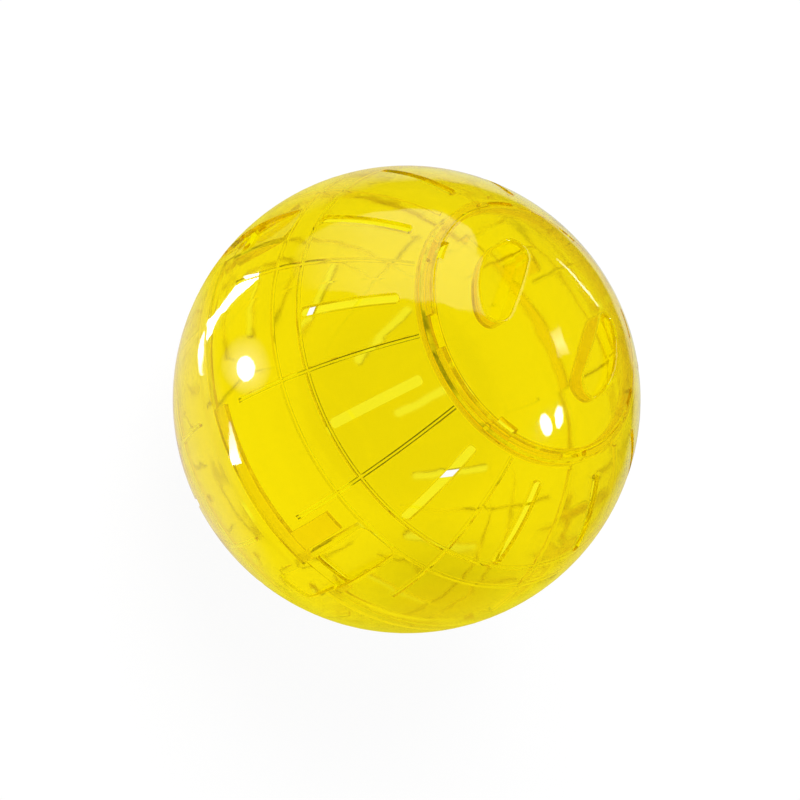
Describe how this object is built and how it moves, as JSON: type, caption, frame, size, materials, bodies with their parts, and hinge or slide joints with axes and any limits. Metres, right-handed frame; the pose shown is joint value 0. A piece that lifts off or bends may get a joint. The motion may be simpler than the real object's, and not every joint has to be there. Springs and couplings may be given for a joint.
{
  "type": "pet exercise ball",
  "caption": "Clear plastic exercise ball for a small pet: two slotted half shells that push together and a domed lid that twists into a bayonet mouth.",
  "frame": {"origin": "centre of the ball, on the seam between the two halves", "axes": "+Z out through the middle of the lid, +X along one of the ribs inside the shells, +Y completes the right-handed frame"},
  "size_m": [0.18, 0.18, 0.18],
  "materials": {
    "shell_plastic": "clear yellow, gloss",
    "lid_plastic": "clear yellow, gloss"
  },
  "bodies": {
    "rear_half": {"rear_shell": "shell_plastic"},
    "front_half": {"front_shell": "shell_plastic"},
    "lid": {"lid": "lid_plastic"}
  },
  "joints": [
    {"name": "half_pull", "type": "slide", "parent": "rear_half", "child": "front_half", "axis": [0, 0, 1], "range_m": [0, 0.06]},
    {"name": "lid_twist", "type": "hinge", "parent": "front_half", "child": "lid", "pos_m": [0, 0, 0.0718], "axis": [0, 0, 1], "range_deg": [0, 39]}
  ]
}
